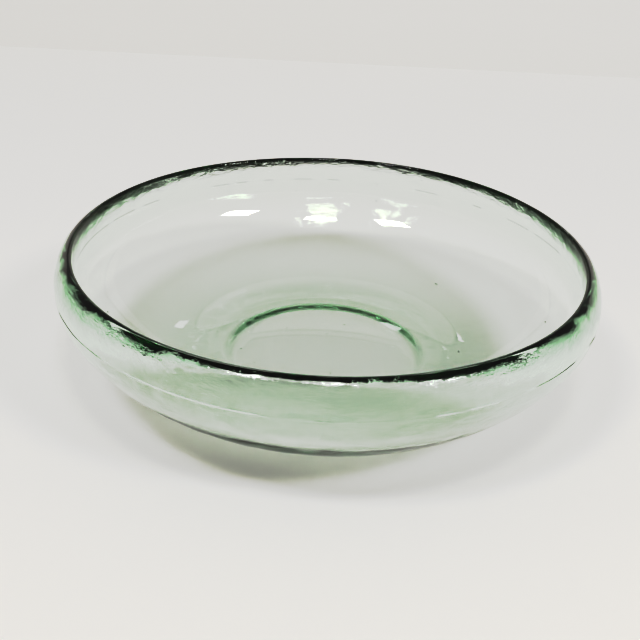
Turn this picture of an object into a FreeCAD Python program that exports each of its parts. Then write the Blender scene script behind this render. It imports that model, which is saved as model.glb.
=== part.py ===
"""Shallow moulded glass bowl: one piece of glass, in millimetres.

The bowl stands on the XY plane with its axis on Z. Half of its section is drawn in the XZ plane
and turned once round Z: X is the radius there, and Y in the sketch is the height.
"""
import FreeCAD, Part
import os
import Sketcher

SIZES = {
    "overall_height": 88.0,         # table to the top of the lip
    "body_radius": 175.0,           # outside, at the widest circle
    "widest_height": 68.0,          # height of that circle
    "brim_radius": 30.5,            # outside curve from the widest circle up and in
    "crown_start_height": 83.25,    # where it passes into the tighter curve over the lip
    "lip_edge_radius": 2.0,         # rounding of the lip's top and inner edge
    "shoulder_radius": 32.0,        # outside curve just below the widest circle
    "belly_radius": 112.0,          # outside curve from there down to the tread
    "tread_outer_radius": 79.8,     # outer edge of the flat ring that touches the table
    "tread_inner_radius": 71.3,     # inner edge of that ring
    "recess_radius": 59.5,          # flat roof of the hollow under the base
    "recess_height": 1.3,           # depth of that hollow
    "recess_blend": 27.0,           # soft curves at the top and bottom of its side
    "neck_radius": 163.0,           # inside, straight down from the lip
    "neck_bend": 25.0,              # soft curve from there into the shoulder
    "inside_shoulder_radius": 50.0, # inside curve of the shoulder
    "inside_centre_radius": 116.0,  # where that curve's centre lies
    "inside_centre_height": 74.0,
    "inside_join_radius": 150.7,    # where it passes into the next one
    "inside_belly_radius": 100.0,   # inside curve of the lower wall
    "floor_radius": 54.0,           # flat floor inside the bowl
    "floor_height": 8.0,            # its height above the table
    "floor_blend": 30.0,            # soft curve where the floor turns up into the wall
    "seam_height": 67.0,            # the mould's parting line
    "seam_radius": 0.45,            # half width of the fine ridge that the mould leaves
}

ORIGIN = (-1, 1)                # Sketcher's name for the sketch origin
START, END, CENTRE = 1, 2, 3    # Sketcher's names for the points of an edge


def make_sheet(document):
    """The driving dimensions, one named cell each."""
    sheet = document.addObject("Spreadsheet::Sheet", "Sizes")
    for row, (alias, value) in enumerate(SIZES.items(), start=1):
        sheet.set(f"A{row}", alias)
        sheet.set(f"B{row}", str(value))
        sheet.setAlias(f"B{row}", alias)
    document.recompute()
    return sheet


def origin_feature(body, role):
    """One of the body's own origin planes or axes."""
    return next(item for item in body.Origin.OriginFeatures if item.Role == role)


def section_sketch(body, name):
    """An empty sketch in the body's XZ plane."""
    sketch = body.newObject("Sketcher::SketchObject", name)
    sketch.AttachmentSupport = (origin_feature(body, "XZ_Plane"), "")
    sketch.MapMode = "FlatFace"
    return sketch


def turn(body, sketch, name):
    """Revolve a section once round the bowl's axis."""
    feature = body.newObject("PartDesign::Revolution", name)
    feature.Profile = sketch
    feature.ReferenceAxis = (origin_feature(body, "Z_Axis"), [""])
    feature.Angle = 360.0
    return feature


def vector(radius, height):
    return FreeCAD.Vector(radius, height, 0)


def line(sketch, start, end):
    return sketch.addGeometry(Part.LineSegment(vector(*start), vector(*end)), False)


def arc(sketch, centre, start, end):
    """An arc that runs anticlockwise from start to end."""
    centre, start, end = vector(*centre), vector(*start), vector(*end)
    circle = Part.Circle(centre, FreeCAD.Vector(0, 0, 1), (start - centre).Length)
    shape = Part.ArcOfCircle(circle, circle.parameter(start), circle.parameter(end))
    return sketch.addGeometry(shape, False)


def tie(sketch, kind, *picks):
    sketch.addConstraint(Sketcher.Constraint(kind, *picks))


def drive(sketch, constraint, name, formula):
    """Add a dimension that follows the sheet."""
    index = sketch.addConstraint(constraint)
    sketch.renameConstraint(index, name)
    sketch.setExpression(f"Constraints.{name}", formula)


def place(sketch, point, name, radius=None, height=None):
    """Hold a point at a radius from the axis and a height above the table."""
    now = sketch.getPoint(*point)
    if radius:
        across = Sketcher.Constraint("DistanceX", *ORIGIN, *point, now.x)
        drive(sketch, across, f"{name}_r", radius)
    if height:
        upward = Sketcher.Constraint("DistanceY", *ORIGIN, *point, now.y)
        drive(sketch, upward, f"{name}_z", height)


def curve(sketch, edge, name, formula):
    """Give an arc or circle its radius."""
    now = sketch.Geometry[edge].Radius
    drive(sketch, Sketcher.Constraint("Radius", edge, now), name, formula)


def along(centre, radius, toward):
    """The point of a circle that lies on the line from its centre towards another point."""
    step = (vector(*toward) - vector(*centre)).normalize() * radius
    return centre[0] + step.x, centre[1] + step.y


def rough_outline(size):
    """Where the section's centres lie, close enough for the solver to finish."""
    shoulder = (size["body_radius"] - size["shoulder_radius"], size["widest_height"])
    belly = (size["tread_outer_radius"], size["belly_radius"])
    brim = (size["body_radius"] - size["brim_radius"], size["widest_height"])
    edge = size["lip_edge_radius"]
    lip = (size["neck_radius"] + edge, size["overall_height"] - edge)
    rise = (size["crown_start_height"] - brim[1]) / size["brim_radius"]
    out = (1 - rise ** 2) ** 0.5
    start = (brim[0] + size["brim_radius"] * out, size["crown_start_height"])
    across, above = start[0] - lip[0], start[1] - lip[1]
    crown_radius = ((across ** 2 + above ** 2 - edge ** 2)
                    / (2 * (across * out + above * rise - edge)))
    crown = (start[0] - crown_radius * out, start[1] - crown_radius * rise)

    inner_shoulder = (size["inside_centre_radius"], size["inside_centre_height"])
    apart = size["inside_shoulder_radius"] - size["neck_bend"]
    across = size["neck_radius"] - size["neck_bend"] - inner_shoulder[0]
    neck = (size["neck_radius"] - size["neck_bend"],
            inner_shoulder[1] - (apart ** 2 - across ** 2) ** 0.5)
    across = size["inside_join_radius"] - inner_shoulder[0]
    drop = (size["inside_shoulder_radius"] ** 2 - across ** 2) ** 0.5
    share = size["inside_belly_radius"] / size["inside_shoulder_radius"] - 1
    inner_belly = (inner_shoulder[0] - across * share, inner_shoulder[1] + drop * share)
    return {"shoulder": shoulder, "brim": brim, "crown": crown, "crown_start": start, "lip": lip,
            "belly": belly, "neck": neck, "inner_shoulder": inner_shoulder,
            "inner_belly": inner_belly}


def draw_section(sketch, size):
    """Half of the bowl's section: base, outside, lip, inside and floor, as one closed line."""
    centre = rough_outline(size)
    blend = size["recess_blend"]
    roof = (size["recess_radius"], size["recess_height"] - blend)
    sole = (size["tread_inner_radius"], blend)
    away = (2 * centre["shoulder"][0] - centre["belly"][0],
            2 * centre["shoulder"][1] - centre["belly"][1])
    over = (2 * centre["lip"][0] - centre["crown"][0],
            2 * centre["lip"][1] - centre["crown"][1])
    outward = (2 * centre["neck"][0] - centre["inner_shoulder"][0],
               2 * centre["neck"][1] - centre["inner_shoulder"][1])

    recess_middle = (0, size["recess_height"])
    recess_edge = (size["recess_radius"], size["recess_height"])
    roof_foot = along(roof, blend, (roof[0] + 2, roof[1] + 10))
    sole_top = along(sole, blend, (sole[0] - 2, sole[1] - 10))
    tread_inner = (size["tread_inner_radius"], 0)
    tread_outer = (size["tread_outer_radius"], 0)
    belly_top = along(centre["shoulder"], size["shoulder_radius"], away)
    widest = (size["body_radius"], size["widest_height"])
    crown_end = along(centre["lip"], size["lip_edge_radius"], over)
    lip_inner = (size["neck_radius"], centre["lip"][1])
    neck_foot = (size["neck_radius"], centre["neck"][1])
    neck_join = along(centre["neck"], size["neck_bend"], outward)
    drop = (size["inside_shoulder_radius"] ** 2
            - (size["inside_join_radius"] - centre["inner_shoulder"][0]) ** 2) ** 0.5
    join = (size["inside_join_radius"], size["inside_centre_height"] - drop)
    belly_foot_inner = along(centre["inner_belly"], size["inside_belly_radius"],
                             (centre["inner_belly"][0] + 7, 0))
    bend = (size["floor_radius"], size["floor_height"] + size["floor_blend"])
    bend_top = along(bend, size["floor_blend"], (bend[0] + 2, 0))
    floor_edge = (size["floor_radius"], size["floor_height"])
    floor_middle = (0, size["floor_height"])

    recess = line(sketch, recess_middle, recess_edge)
    roof_bend = arc(sketch, roof, roof_foot, recess_edge)
    flank = line(sketch, roof_foot, sole_top)
    sole_bend = arc(sketch, sole, sole_top, tread_inner)
    tread = line(sketch, tread_inner, tread_outer)
    outer_belly = arc(sketch, centre["belly"], tread_outer, belly_top)
    outer_shoulder = arc(sketch, centre["shoulder"], belly_top, widest)
    outer_brim = arc(sketch, centre["brim"], widest, centre["crown_start"])
    crown = arc(sketch, centre["crown"], centre["crown_start"], crown_end)
    lip_edge = arc(sketch, centre["lip"], crown_end, lip_inner)
    neck = line(sketch, lip_inner, neck_foot)
    neck_bend = arc(sketch, centre["neck"], neck_join, neck_foot)
    inner_shoulder = arc(sketch, centre["inner_shoulder"], join, neck_join)
    inner_belly = arc(sketch, centre["inner_belly"], belly_foot_inner, join)
    ramp = line(sketch, belly_foot_inner, bend_top)
    floor_bend = arc(sketch, bend, floor_edge, bend_top)
    floor = line(sketch, floor_edge, floor_middle)
    axis = line(sketch, floor_middle, recess_middle)

    corners = [
        ((tread, END), (outer_belly, START)), ((outer_shoulder, END), (outer_brim, START)),
        ((floor, END), (axis, START)), ((axis, END), (recess, START)),
    ]
    for one, other in corners:
        tie(sketch, "Coincident", *one, *other)
    smooth = [
        ((recess, END), (roof_bend, END)), ((roof_bend, START), (flank, START)),
        ((flank, END), (sole_bend, START)), ((sole_bend, END), (tread, START)),
        ((outer_belly, END), (outer_shoulder, START)), ((outer_brim, END), (crown, START)),
        ((crown, END), (lip_edge, START)), ((lip_edge, END), (neck, START)),
        ((neck, END), (neck_bend, END)), ((neck_bend, START), (inner_shoulder, END)),
        ((inner_shoulder, START), (inner_belly, END)),
        ((inner_belly, START), (ramp, START)), ((ramp, END), (floor_bend, END)),
        ((floor_bend, START), (floor, START)),
    ]
    for one, other in smooth:
        tie(sketch, "Tangent", *one, *other)
    for edge in (recess, tread, floor):
        tie(sketch, "Horizontal", edge)
    for edge in (neck, axis):
        tie(sketch, "Vertical", edge)
    tie(sketch, "PointOnObject", tread, END, -1)
    tie(sketch, "PointOnObject", axis, START, -2)

    place(sketch, (outer_shoulder, CENTRE), "shoulder",
          "Sizes.body_radius - Sizes.shoulder_radius", "Sizes.widest_height")
    place(sketch, (outer_shoulder, END), "widest", height="Sizes.widest_height")
    place(sketch, (outer_brim, CENTRE), "brim", height="Sizes.widest_height")
    place(sketch, (crown, START), "crown", height="Sizes.crown_start_height")
    place(sketch, (lip_edge, CENTRE), "lip_edge",
          height="Sizes.overall_height - Sizes.lip_edge_radius")
    place(sketch, (neck, END), "neck", radius="Sizes.neck_radius")
    place(sketch, (inner_shoulder, CENTRE), "inner_shoulder",
          "Sizes.inside_centre_radius", "Sizes.inside_centre_height")
    place(sketch, (inner_shoulder, START), "join", radius="Sizes.inside_join_radius")
    place(sketch, (floor, START), "floor", "Sizes.floor_radius", "Sizes.floor_height")
    place(sketch, (recess, END), "recess", "Sizes.recess_radius", "Sizes.recess_height")
    place(sketch, (tread, START), "tread_inner", radius="Sizes.tread_inner_radius")
    place(sketch, (tread, END), "tread_outer", radius="Sizes.tread_outer_radius")
    curve(sketch, roof_bend, "roof_curve", "Sizes.recess_blend")
    curve(sketch, sole_bend, "sole_curve", "Sizes.recess_blend")
    curve(sketch, outer_belly, "belly_curve", "Sizes.belly_radius")
    curve(sketch, outer_shoulder, "shoulder_curve", "Sizes.shoulder_radius")
    curve(sketch, outer_brim, "brim_curve", "Sizes.brim_radius")
    curve(sketch, lip_edge, "lip_edge_curve", "Sizes.lip_edge_radius")
    curve(sketch, neck_bend, "neck_curve", "Sizes.neck_bend")
    curve(sketch, inner_shoulder, "inner_shoulder_curve", "Sizes.inside_shoulder_radius")
    curve(sketch, inner_belly, "inner_belly_curve", "Sizes.inside_belly_radius")
    curve(sketch, floor_bend, "floor_curve", "Sizes.floor_blend")


def make_bowl(document, size):
    """The whole bowl, and the fine ridge of the mould's parting line round its outside."""
    body = document.addObject("PartDesign::Body", "glass_bowl")
    body.Label = "glass_bowl"
    section = section_sketch(body, "section")
    draw_section(section, size)
    document.recompute()
    blank = turn(body, section, "blank")
    document.recompute()

    ridge_section = section_sketch(body, "seam_section")
    drop = size["widest_height"] - size["seam_height"]
    seam_centre = (size["body_radius"] - size["shoulder_radius"]
                   + (size["shoulder_radius"] ** 2 - drop ** 2) ** 0.5, size["seam_height"])
    circle = Part.Circle(vector(*seam_centre), FreeCAD.Vector(0, 0, 1), size["seam_radius"])
    ring = ridge_section.addGeometry(circle, False)
    place(ridge_section, (ring, CENTRE), "seam",
          "Sizes.body_radius - Sizes.shoulder_radius + sqrt(Sizes.shoulder_radius ^ 2"
          " - (Sizes.widest_height - Sizes.seam_height) ^ 2)", "Sizes.seam_height")
    curve(ridge_section, ring, "seam_curve", "Sizes.seam_radius")
    document.recompute()
    ridge = turn(body, ridge_section, "mould_seam")
    document.recompute()
    body.Tip = ridge
    return body, {"blank": blank, "seam": ridge}


def check(document, bodies):
    """Stop if any object of the document failed or a piece isn't a sound solid."""
    for item in document.Objects:
        if "Invalid" in item.State or "Error" in item.State:
            raise RuntimeError(f"{item.Name} failed: {item.State}")
    for body in bodies:
        shape = body.Shape
        if shape.isNull() or not shape.isValid() or len(shape.Solids) != 1:
            raise RuntimeError(f"{body.Label} is not one valid solid")


def main():
    document = FreeCAD.newDocument("glass_bowl")
    make_sheet(document)
    bowl, steps = make_bowl(document, SIZES)
    document.recompute()
    check(document, [bowl])
    for name, feature in steps.items():
        print(f"{name}: volume {feature.Shape.Volume / 1000:.2f} cm3")
    box = bowl.Shape.optimalBoundingBox(True, False)
    print(f"box {box.XLength:.2f} x {box.YLength:.2f} x {box.ZLength:.2f}, from z {box.ZMin:.3f}")
    os.makedirs("parts", exist_ok=True)
    for body in (bowl,):
        body.Shape.exportStep(f"parts/{body.Label}.step")


main()
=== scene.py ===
"""The glass bowl as it looks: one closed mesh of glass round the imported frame, in metres.

The section is the CAD model's. The mesh adds what a mould and a flame leave on such glass: ripples
and streaks outside, a fine broken parting line, an uneven lip, and a few small bubbles.
"""
import math
import bpy
import numpy as np
from mathutils import Matrix, Vector


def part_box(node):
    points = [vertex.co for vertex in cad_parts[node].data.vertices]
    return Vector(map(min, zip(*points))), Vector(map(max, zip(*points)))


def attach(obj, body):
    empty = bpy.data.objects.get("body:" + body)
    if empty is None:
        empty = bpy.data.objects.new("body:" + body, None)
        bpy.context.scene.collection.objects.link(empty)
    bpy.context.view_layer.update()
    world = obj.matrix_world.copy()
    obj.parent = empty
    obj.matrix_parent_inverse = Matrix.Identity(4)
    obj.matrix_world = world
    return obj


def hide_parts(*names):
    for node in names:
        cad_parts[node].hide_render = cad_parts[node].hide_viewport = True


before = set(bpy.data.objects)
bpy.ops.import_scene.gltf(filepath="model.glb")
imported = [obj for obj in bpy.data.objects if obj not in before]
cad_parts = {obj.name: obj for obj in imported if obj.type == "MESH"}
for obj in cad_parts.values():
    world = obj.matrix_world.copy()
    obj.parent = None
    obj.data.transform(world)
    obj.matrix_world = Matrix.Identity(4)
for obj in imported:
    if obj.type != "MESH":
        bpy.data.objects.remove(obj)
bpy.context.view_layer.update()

MM = 0.001
NODE = "glass_bowl"
NODE_LOW, NODE_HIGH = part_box(NODE)

# ---- the bowl's section ----
HEIGHT = NODE_HIGH.z - NODE_LOW.z
SEAM_RIDGE = 0.45 * MM                      # how far the parting line stands out
BODY_RADIUS = 175.0 * MM
WIDEST_HEIGHT = 68.0 * MM
SEAM_HEIGHT = 67.0 * MM
BRIM_RADIUS = 30.5 * MM
CROWN_START_HEIGHT = 83.25 * MM
LIP_EDGE_RADIUS = 2.0 * MM
SHOULDER_RADIUS = 32.0 * MM
BELLY_RADIUS = 112.0 * MM
TREAD_OUTER_RADIUS = 79.8 * MM
TREAD_INNER_RADIUS = 71.3 * MM
RECESS_RADIUS = 59.5 * MM
RECESS_HEIGHT = 1.3 * MM
RECESS_BLEND = 27.0 * MM
NECK_RADIUS = 163.0 * MM
NECK_BEND = 25.0 * MM
INSIDE_SHOULDER_CENTRE = (116.0 * MM, 74.0 * MM)
INSIDE_SHOULDER_RADIUS = 50.0 * MM
INSIDE_BELLY_RADIUS = 100.0 * MM
INSIDE_JOIN_RADIUS = 150.7 * MM
FLOOR_RADIUS = 54.0 * MM
FLOOR_HEIGHT = 8.0 * MM
FLOOR_BLEND = 30.0 * MM

# ---- the mesh ----
AROUND = 560                                # divisions round the bowl
FAN_RADIUS = 5 * MM                         # inside it, a fan closes the base and another the floor
END_GAP = 1 * MM                            # a level run stops this far short of the bend beside it
FOOT_GAP, BRIM_GAP = 0.01, 0.02             # radians left out where two curved runs meet
SHOULDER_END, SEAM_START = -0.06, -0.055    # radians from level, where the finer seam run takes over
SAME_POINT = 0.01 * MM
RANDOM_SEED = 7

# ---- what the mould and the flame leave ----
RIPPLES = [                                 # in mm: wave length round the bowl and along the section,
    (5.0, 2.5, 0.006, 0.048),               # then the usual height on the belly and on the brim
    (12.0, 4.0, 0.010, 0.040),
    (60.0, 11.0, 0.036, 0.045),
    (26.0, 18.0, 0.045, 0.060),
]
ROW_STEP = 0.5 * MM                         # between the ripple field's rows, along the section
RIPPLE_SINK = 0.12 * MM                     # the ripples' mean level, inside the CAD surface
RIPPLE_RISE = 15 * MM                       # the ripples come in over this much radius past the tread
SEAM_WIDTH = 0.36 * MM                      # from its crest to where the ridge is a third as high
SEAM_BREAK = 14                             # divisions over which the ridge comes and goes
SEAM_BROKEN, SEAM_WHOLE = 0.15, 0.80        # share of the ridge in a break, and what a whole part adds
LIP_WAVES = [(0.25 * MM, 2, 0.7), (0.12 * MM, 5, 2.0)]    # height, waves round the lip, phase
LIP_DROP = 0.37 * MM                        # both heights together, so no crest passes the full height
SEED_COUNT = 26                             # bubbles in the wall
SEED_RADIUS = (0.25 * MM, 0.55 * MM)        # least and most
SEED_STRETCH = (1.2, 3.0)                   # length over width
SEED_DEPTH = (0.35, 0.65)                   # share of the way from the inner wall to the outer

# ---- the glass ----
GLASS_IOR = 1.52
GLASS_TINT = (0.395, 0.635, 0.46, 1)        # each metre takes up density x (1 - tint)
TINT_DENSITY = 22.0
WRINKLE_SCALE = 420.0
WRINKLE_STRETCH = (1.0, 1.0, 2.2)           # the wrinkles are shorter upwards than round the bowl
WRINKLE_HEIGHT = 0.22 * MM
BELLY_WRINKLES = 0.12                       # their share on the belly, against 1 on the brim

# ---- the table and the wall behind it ----
TABLE_COLOUR, TABLE_MOTTLE = (0.88, 0.865, 0.83), 0.02
WALL_COLOUR, WALL_MOTTLE = (0.82, 0.80, 0.76), 0.015
WALL_DISTANCE = 0.85                        # from the bowl's axis
WALL_HEIGHT = 0.45
FLOOR_REACH = 3.0
TABLE_HEIGHT = -0.2 * MM                    # a hair below the tread, so the two never coincide

# ---- the lamps ----
CEILING = 2.2
PANELS = [                                  # each ceiling panel's place, width and depth
    (-0.98, -0.98, 0.55, 0.45),
    (0.15, -0.96, 0.47, 0.30),
    (2.10, -1.40, 1.00, 0.60),
]
PANEL_RADIANCE = 25.5
BACK_PLACE = (0.10, 2.40, 1.60)
BACK_WIDTH, BACK_DEPTH = 0.14, 0.09
BACK_WATTS = 0.14
ROOM_COLOUR = (1.0, 0.98, 0.95, 1)
ROOM_STRENGTH = 0.375

# ---- the camera and the picture ----
CAMERA_PLACE = (0.0, -0.5654, 0.3376)
CAMERA_PITCH = 28.6                         # degrees below the horizon
CAMERA_YAW = 0.4                            # degrees to the left
CAMERA_ROLL = 2.77                          # degrees
FOCAL_LENGTH = 53.4                         # millimetres, on the sensor's width
SENSOR_WIDTH = 36.0
TONE_CURVE = [                              # light in and light out: deeper darks, lifted middle tones
    (0.07, 0.03), (0.25, 0.23), (0.40, 0.54), (0.60, 0.66), (0.85, 0.78),
]
BOUNCES = 14                                # for a ray that goes in and out of the wall many times
GLOSSY_BOUNCES = 12


def arc(centre, radius, start, end, step):
    """Points of an arc, about one step apart."""
    count = max(3, math.ceil(abs(end - start) * radius / step))
    angles = np.linspace(start, end, count + 1)
    return np.stack([centre[0] + radius * np.cos(angles), centre[1] + radius * np.sin(angles)], 1)


def line(start, end, step):
    """Points of a straight run, about one step apart."""
    count = max(1, math.ceil(math.dist(start, end) / step))
    return np.linspace(start, end, count + 1)


def circle_centre(first, first_distance, second, second_distance):
    """The upper point at the two given distances from two points."""
    first, second = np.array(first), np.array(second)
    apart = np.linalg.norm(second - first)
    along = (first_distance ** 2 - second_distance ** 2 + apart ** 2) / (2 * apart)
    aside = math.sqrt(first_distance ** 2 - along ** 2)
    unit = (second - first) / apart
    side = np.array([unit[1], -unit[0]])
    return max(first + along * unit + aside * side, first + along * unit - aside * side,
               key=lambda point: point[1])


def direction(start, end):
    """The angle of the way from start to end, in radians."""
    return math.atan2(end[1] - start[1], end[0] - start[0])


def section():
    """The section's runs of (radius, height) points, named, from under the base to the floor."""
    down = -math.pi / 2
    shoulder = (BODY_RADIUS - SHOULDER_RADIUS, WIDEST_HEIGHT)
    tread_edge = (TREAD_OUTER_RADIUS, 0.0)
    belly = circle_centre(shoulder, BELLY_RADIUS - SHOULDER_RADIUS, tread_edge, BELLY_RADIUS)
    join = direction(belly, shoulder)
    brim = np.array([BODY_RADIUS - BRIM_RADIUS, WIDEST_HEIGHT])
    lip = np.array([NECK_RADIUS + LIP_EDGE_RADIUS, HEIGHT - LIP_EDGE_RADIUS])
    lean = math.asin((CROWN_START_HEIGHT - WIDEST_HEIGHT) / BRIM_RADIUS)
    outward = np.array([math.cos(lean), math.sin(lean)])
    crown_start = brim + BRIM_RADIUS * outward
    gap = crown_start - lip
    crown_radius = (gap @ gap - LIP_EDGE_RADIUS ** 2) / (2 * (gap @ outward - LIP_EDGE_RADIUS))
    crown = crown_start - crown_radius * outward
    over = direction(crown, lip)

    inside_shoulder = INSIDE_SHOULDER_CENTRE
    apart = INSIDE_SHOULDER_RADIUS - NECK_BEND
    across = NECK_RADIUS - NECK_BEND - inside_shoulder[0]
    neck = (NECK_RADIUS - NECK_BEND, inside_shoulder[1] - math.sqrt(apart ** 2 - across ** 2))
    turn = direction(inside_shoulder, neck)
    lift = INSIDE_BELLY_RADIUS - INSIDE_SHOULDER_RADIUS
    steep = math.asin((INSIDE_JOIN_RADIUS - inside_shoulder[0]) / INSIDE_SHOULDER_RADIUS)
    inside_belly = (inside_shoulder[0] - lift * math.sin(steep),
                    inside_shoulder[1] + lift * math.cos(steep))
    bend = (FLOOR_RADIUS, FLOOR_HEIGHT + FLOOR_BLEND)
    slope = direction(bend, inside_belly) - math.asin(
        (INSIDE_BELLY_RADIUS - FLOOR_BLEND) / math.dist(bend, inside_belly))
    tilt = np.array([math.sin(slope), -math.cos(slope)])

    roof = (RECESS_RADIUS, RECESS_HEIGHT - RECESS_BLEND)
    sole = (TREAD_INNER_RADIUS, RECESS_BLEND)
    flank = math.sqrt(math.dist(roof, sole) ** 2 - (2 * RECESS_BLEND) ** 2)
    fall = math.atan2(2 * RECESS_BLEND, flank) - direction(roof, sole)
    return [
        ("base", line((FAN_RADIUS, RECESS_HEIGHT), (RECESS_RADIUS - END_GAP, RECESS_HEIGHT), 9 * MM)),
        ("base", arc(roof, RECESS_BLEND, -down, -down - fall, 1.0 * MM)),
        ("base", arc(sole, RECESS_BLEND, down - fall, down, 1.0 * MM)),
        ("base", line((TREAD_INNER_RADIUS + END_GAP, 0.0), tread_edge, 2 * MM)),
        ("belly", arc(belly, BELLY_RADIUS, direction(belly, tread_edge) + FOOT_GAP, join, 3.4 * MM)),
        ("shoulder", arc(shoulder, SHOULDER_RADIUS, join, SHOULDER_END, 1.8 * MM)),
        ("seam", arc(shoulder, SHOULDER_RADIUS, SEAM_START, 0.0, 0.18 * MM)),
        ("brim", arc(brim, BRIM_RADIUS, BRIM_GAP, lean, 1.2 * MM)),
        ("crown", arc(crown, crown_radius, lean + BRIM_GAP, over, 0.7 * MM)),
        ("lip", arc(lip, LIP_EDGE_RADIUS, over, math.pi, 0.45 * MM)),
        ("inside", line((NECK_RADIUS, lip[1]), (NECK_RADIUS, neck[1]), 4 * MM)),
        ("inside", arc(neck, NECK_BEND, 0.0, turn, 1.8 * MM)),
        ("inside", arc(inside_shoulder, INSIDE_SHOULDER_RADIUS, turn, down + steep, 3 * MM)),
        ("inside", arc(inside_belly, INSIDE_BELLY_RADIUS, down + steep, down + slope, 4 * MM)),
        ("inside", line(np.array(inside_belly) + INSIDE_BELLY_RADIUS * tilt,
                        np.array(bend) + FLOOR_BLEND * tilt, 4 * MM)),
        ("inside", arc(bend, FLOOR_BLEND, down + slope, down, 2 * MM)),
        ("inside", line((FLOOR_RADIUS - END_GAP, FLOOR_HEIGHT), (FAN_RADIUS, FLOOR_HEIGHT), 9 * MM)),
    ]


def joined(runs):
    """All points in one array, without doubles, and each point's run name."""
    points, names = [], []
    for name, run in runs:
        for point in run:
            if not points or math.dist(point, points[-1]) > SAME_POINT:
                points.append(point)
                names.append(name)
    return np.array(points), np.array(names)


def ripple(rng, length, around_mm, along_mm):
    """A random height field on the bowl's outside that closes round the bowl, with deviation one.

    Rows follow each other along the section and columns round the bowl. The two sizes say how long
    its waves are round the bowl and along the section.
    """
    rows = int(length / ROW_STEP) + 2
    noise = rng.standard_normal((rows, AROUND))
    row_waves = np.fft.fftfreq(rows, ROW_STEP / MM)[:, None]
    column_waves = np.fft.fftfreq(AROUND, 2 * math.pi * BODY_RADIUS / MM / AROUND)[None, :]
    reach = (row_waves * along_mm) ** 2 + (column_waves * around_mm) ** 2
    band = reach * np.exp(-reach)
    field = np.fft.ifft2(np.fft.fft2(noise) * band).real
    return field / field.std()


def smooth_step(value, low, high):
    """0 up to the low value, 1 from the high one on, and a smooth rise between them."""
    t = np.clip((value - low) / (high - low), 0, 1)
    return t * t * (3 - 2 * t)


def ripple_lift(rng, travelled, upper):
    """How far the ripples of all sizes raise each row and column of the surface."""
    rows = travelled / ROW_STEP
    low_row = np.floor(rows).astype(int)
    part = (rows - low_row)[:, None]
    lift = np.zeros((len(travelled), AROUND))
    for around_mm, along_mm, on_belly, on_brim in RIPPLES:
        field = ripple(rng, travelled[-1] + 1 * MM, around_mm, along_mm)
        sampled = field[low_row] * (1 - part) + field[low_row + 1] * part
        lift += sampled * (on_belly + (on_brim - on_belly) * upper)[:, None] * MM
    return lift


def parting_line(rng, height):
    """How far the parting line's ridge raises the surface: a fine crest that breaks off and returns."""
    breaks = np.convolve(np.tile(rng.standard_normal(AROUND), 3), np.hanning(SEAM_BREAK), "same")
    breaks = breaks[AROUND:2 * AROUND]
    whole = smooth_step(breaks / breaks.std(), 0.0, 0.5)
    ridge_height = SEAM_RIDGE * (SEAM_BROKEN + SEAM_WHOLE * whole)
    profile = np.exp(-((height - SEAM_HEIGHT) / SEAM_WIDTH) ** 2)
    return profile[:, None] * ridge_height[None, :]


def lathe(points, names):
    """The bowl's vertices, its quads and triangles, and how rippled each vertex is."""
    rng = np.random.default_rng(RANDOM_SEED)
    count = len(points)
    steps = np.linalg.norm(np.diff(points, axis=0), axis=1)
    travelled = np.concatenate([[0], np.cumsum(steps)])
    along = np.gradient(points, axis=0)
    along /= np.linalg.norm(along, axis=1)[:, None]
    normal = np.stack([along[:, 1], -along[:, 0]], 1)

    radius, height = points[:, 0], points[:, 1]
    outside = np.isin(names, ["belly", "shoulder", "seam", "brim", "crown"])
    weight = outside * smooth_step(radius, TREAD_OUTER_RADIUS, TREAD_OUTER_RADIUS + RIPPLE_RISE)
    weight *= 1 - smooth_step(height, HEIGHT - 3 * MM, HEIGHT - 1 * MM)
    upper = smooth_step(height, WIDEST_HEIGHT, HEIGHT - 8 * MM)

    lift = ripple_lift(rng, travelled, upper) * weight[:, None]
    lift -= RIPPLE_SINK * weight[:, None]
    lift += parting_line(rng, height) * outside[:, None]

    rings = points[:, :, None] + normal[:, :, None] * lift[:, None, :]
    angles = np.arange(AROUND) * 2 * math.pi / AROUND
    wobble = sum(rise * np.sin(waves * angles + phase) for rise, waves, phase in LIP_WAVES)
    near_lip = smooth_step(height, WIDEST_HEIGHT, HEIGHT)
    rings[:, 1] += near_lip[:, None] * (wobble - LIP_DROP)[None, :]

    x = rings[:, 0] * np.cos(angles)
    y = rings[:, 0] * np.sin(angles)
    vertices = np.stack([x, y, rings[:, 1]], 2).reshape(-1, 3)
    under, over = len(vertices), len(vertices) + 1
    vertices = np.concatenate([vertices, [[0, 0, height[0]], [0, 0, height[-1]]]])

    column = np.arange(AROUND)
    following = (column + 1) % AROUND
    row = np.arange(count - 1)[:, None] * AROUND
    quads = np.stack([row + column, row + following,
                      row + AROUND + following, row + AROUND + column], 2).reshape(-1, 4)
    last = (count - 1) * AROUND
    fans = [(under, int(b), int(a)) for a, b in zip(column, following)]
    fans += [(over, last + int(a), last + int(b)) for a, b in zip(column, following)]
    wrinkled = weight * (BELLY_WRINKLES + (1 - BELLY_WRINKLES) * upper)
    rippled = np.concatenate([np.repeat(wrinkled, AROUND), [0, 0]])
    return vertices, quads.tolist() + fans, rippled


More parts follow.
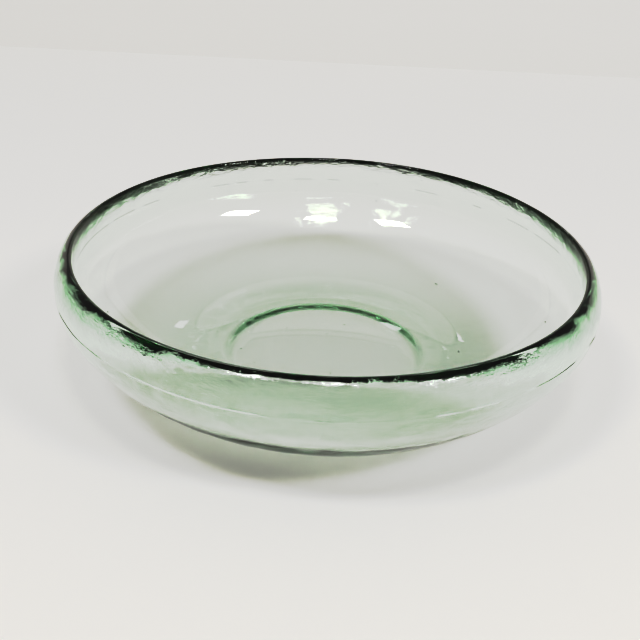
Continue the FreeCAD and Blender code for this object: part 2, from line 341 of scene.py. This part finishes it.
def seed_shell(middle, size, stretch, first):
    """A bubble's skin: an egg drawn out round the bowl, its faces turned to the bubble's inside.

    Its corners are numbered from the given first one.
    """
    rings, sides = 5, 10
    polar = np.linspace(0, math.pi, rings + 2)[1:-1, None]
    turn = np.arange(sides) * 2 * math.pi / sides
    ball = np.stack([np.sin(polar) * np.cos(turn), np.cos(polar) + 0 * turn,
                     np.sin(polar) * np.sin(turn)], 2).reshape(-1, 3)
    ball = np.concatenate([ball, [[0, 1, 0], [0, -1, 0]]]) * [size, size * stretch, size]
    angle = math.atan2(middle[1], middle[0])
    spin = np.array(Matrix.Rotation(angle, 3, "Z"))
    corners = ball @ spin.T + middle

    faces = []
    top, bottom = first + rings * sides, first + rings * sides + 1
    for side in range(sides):
        this, following = first + side, first + (side + 1) % sides
        faces.append((top, this, following))
        for ring in range(rings - 1):
            step = ring * sides
            faces.append((this + step, this + step + sides,
                          following + step + sides, following + step))
        last = (rings - 1) * sides
        faces.append((bottom, following + last, this + last))
    return corners, faces


def seeds(points, names, first):
    """A few bubbles shut in the middle of the wall, at random round the bowl."""
    rng = np.random.default_rng(RANDOM_SEED)
    inner_wall = points[names == "inside"]
    outer_wall = points[np.isin(names, ["base", "belly", "shoulder", "seam", "brim"])]
    corners, faces = [], []
    for _ in range(SEED_COUNT):
        inner = inner_wall[rng.integers(len(inner_wall))]
        outer = outer_wall[np.argmin(np.linalg.norm(outer_wall - inner, axis=1))]
        radius, height = inner + (outer - inner) * rng.uniform(*SEED_DEPTH)
        angle = rng.uniform(0, 2 * math.pi)
        middle = np.array([radius * math.cos(angle), radius * math.sin(angle), height])
        shell, skin = seed_shell(middle, rng.uniform(*SEED_RADIUS), rng.uniform(*SEED_STRETCH), first)
        first += len(shell)
        corners.append(shell)
        faces += skin
    return np.concatenate(corners), faces


def make_bowl():
    """The bowl's mesh, riding on the frame in place of the CAD node."""
    points, names = joined(section())
    vertices, faces, rippled = lathe(points, names)
    corners, skins = seeds(points, names, len(vertices))
    vertices = np.concatenate([vertices, corners])
    faces += skins
    rippled = np.concatenate([rippled, np.zeros(len(corners))])
    mesh = bpy.data.meshes.new("bowl_glass")
    mesh.from_pydata(vertices.tolist(), [], faces)
    mesh.update()
    attribute = mesh.attributes.new("rippled", "FLOAT", "POINT")
    attribute.data.foreach_set("value", rippled)
    mesh.polygons.foreach_set("use_smooth", [True] * len(mesh.polygons))
    bowl = bpy.data.objects.new("bowl_glass", mesh)
    bpy.context.scene.collection.objects.link(bowl)
    bowl.data.materials.append(green_glass())
    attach(bowl, "root")
    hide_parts(NODE)


def new_material(name):
    """A new node material, with its nodes, its links and its shader."""
    material = bpy.data.materials.new(name)
    material.use_nodes = True
    nodes = material.node_tree.nodes
    return material, nodes, material.node_tree.links, nodes["Principled BSDF"]


def green_glass():
    """Clear glass with a green body colour, and the mould's finest wrinkles on the outside."""
    material, nodes, links, shader = new_material("green_glass")
    shader.inputs["Base Color"].default_value = (1, 1, 1, 1)
    shader.inputs["Transmission Weight"].default_value = 1.0
    shader.inputs["IOR"].default_value = GLASS_IOR
    shader.inputs["Roughness"].default_value = 0.0

    absorb = nodes.new("ShaderNodeVolumeAbsorption")
    absorb.inputs["Color"].default_value = GLASS_TINT
    absorb.inputs["Density"].default_value = TINT_DENSITY
    links.new(absorb.outputs["Volume"], nodes["Material Output"].inputs["Volume"])

    place = nodes.new("ShaderNodeTexCoord")
    stretch = nodes.new("ShaderNodeMapping")
    stretch.inputs["Scale"].default_value = WRINKLE_STRETCH
    links.new(place.outputs["Object"], stretch.inputs["Vector"])
    wrinkles = nodes.new("ShaderNodeTexNoise")
    wrinkles.inputs["Scale"].default_value = WRINKLE_SCALE
    wrinkles.inputs["Detail"].default_value = 1.5
    wrinkles.inputs["Roughness"].default_value = 0.45
    wrinkles.inputs["Distortion"].default_value = 0.6
    links.new(stretch.outputs["Vector"], wrinkles.inputs["Vector"])
    where = nodes.new("ShaderNodeAttribute")
    where.attribute_name = "rippled"
    height = nodes.new("ShaderNodeMath")
    height.operation = "MULTIPLY"
    links.new(wrinkles.outputs["Fac"], height.inputs[0])
    links.new(where.outputs["Fac"], height.inputs[1])
    bump = nodes.new("ShaderNodeBump")
    bump.inputs["Strength"].default_value = 1.0
    bump.inputs["Distance"].default_value = WRINKLE_HEIGHT
    links.new(height.outputs["Value"], bump.inputs["Height"])
    links.new(bump.outputs["Normal"], shader.inputs["Normal"])
    return material


def pale_paint(name, colour, mottle):
    """Matt off-white with a faint unevenness."""
    material, nodes, links, shader = new_material(name)
    noise = nodes.new("ShaderNodeTexNoise")
    noise.inputs["Scale"].default_value = 9.0
    noise.inputs["Detail"].default_value = 4.0
    ramp = nodes.new("ShaderNodeValToRGB")
    ramp.color_ramp.elements[0].position = 0.3
    ramp.color_ramp.elements[1].position = 0.7
    ramp.color_ramp.elements[0].color = (*[c * (1 - mottle) for c in colour], 1)
    ramp.color_ramp.elements[1].color = (*colour, 1)
    links.new(noise.outputs["Fac"], ramp.inputs["Fac"])
    links.new(ramp.outputs["Color"], shader.inputs["Base Color"])
    shader.inputs["Roughness"].default_value = 0.7
    shader.inputs["Specular IOR Level"].default_value = 0.2
    return material


def plane(name, corners, material):
    """One flat four-sided stage."""
    mesh = bpy.data.meshes.new(name)
    mesh.from_pydata(corners, [], [(0, 1, 2, 3)])
    mesh.materials.append(material)
    stage = bpy.data.objects.new(name, mesh)
    bpy.context.scene.collection.objects.link(stage)


def make_stage():
    """The pale table that the bowl stands on, and a low wall at its back."""
    table = pale_paint("table_paint", TABLE_COLOUR, TABLE_MOTTLE)
    wall = pale_paint("wall_paint", WALL_COLOUR, WALL_MOTTLE)
    back, side, front = WALL_DISTANCE, FLOOR_REACH, -FLOOR_REACH
    plane("table", [(-side, front, TABLE_HEIGHT), (side, front, TABLE_HEIGHT),
                    (side, back, TABLE_HEIGHT), (-side, back, TABLE_HEIGHT)], table)
    plane("wall", [(-side, back, TABLE_HEIGHT), (side, back, TABLE_HEIGHT),
                   (side, back, WALL_HEIGHT), (-side, back, WALL_HEIGHT)], wall)


def panel(name, place, target, width, depth, watts):
    """A rectangular lamp that faces a target."""
    lamp = bpy.data.lights.new(name, "AREA")
    lamp.shape = "RECTANGLE"
    lamp.size, lamp.size_y = width, depth
    lamp.energy = watts
    holder = bpy.data.objects.new(name, lamp)
    holder.location = place
    aim = Vector(target) - Vector(place)
    holder.rotation_euler = aim.to_track_quat("-Z", "Y").to_euler()
    bpy.context.scene.collection.objects.link(holder)


def make_lights():
    """Three ceiling panels in a row above and before the bowl, one behind it, and an even room."""
    for number, (x, y, width, depth) in enumerate(PANELS):
        watts = PANEL_RADIANCE * width * depth * math.pi
        panel(f"panel_{number}", (x, y, CEILING), (x, y, 0), width, depth, watts)
    panel("panel_back", BACK_PLACE, (0, 0, 0), BACK_WIDTH, BACK_DEPTH, BACK_WATTS)
    world = bpy.data.worlds.new("room")
    world.use_nodes = True
    world.node_tree.nodes["Background"].inputs["Color"].default_value = ROOM_COLOUR
    world.node_tree.nodes["Background"].inputs["Strength"].default_value = ROOM_STRENGTH
    bpy.context.scene.world = world


def make_camera():
    """The scene's camera, looking down at the bowl from in front."""
    camera = bpy.data.objects.new("camera", bpy.data.cameras.new("camera"))
    camera.data.lens = FOCAL_LENGTH
    camera.data.sensor_width = SENSOR_WIDTH
    camera.data.clip_start = 0.01
    turn = (Matrix.Rotation(math.radians(CAMERA_YAW), 4, "Z")
            @ Matrix.Rotation(math.radians(90 - CAMERA_PITCH), 4, "X")
            @ Matrix.Rotation(math.radians(CAMERA_ROLL), 4, "Z"))
    camera.matrix_world = Matrix.Translation(CAMERA_PLACE) @ turn
    bpy.context.scene.collection.objects.link(camera)
    bpy.context.scene.camera = camera


def set_picture():
    """The standard view with a tone curve, and enough bounces for light to cross the thick glass."""
    scene = bpy.context.scene
    scene.view_settings.view_transform = "Standard"
    scene.view_settings.use_curve_mapping = True
    curves = scene.view_settings.curve_mapping
    for place in TONE_CURVE:
        curves.curves[3].points.new(*place)
    curves.update()
    scene.cycles.max_bounces = BOUNCES
    scene.cycles.transmission_bounces = BOUNCES
    scene.cycles.glossy_bounces = GLOSSY_BOUNCES


make_camera()
make_stage()
make_lights()
make_bowl()
set_picture()
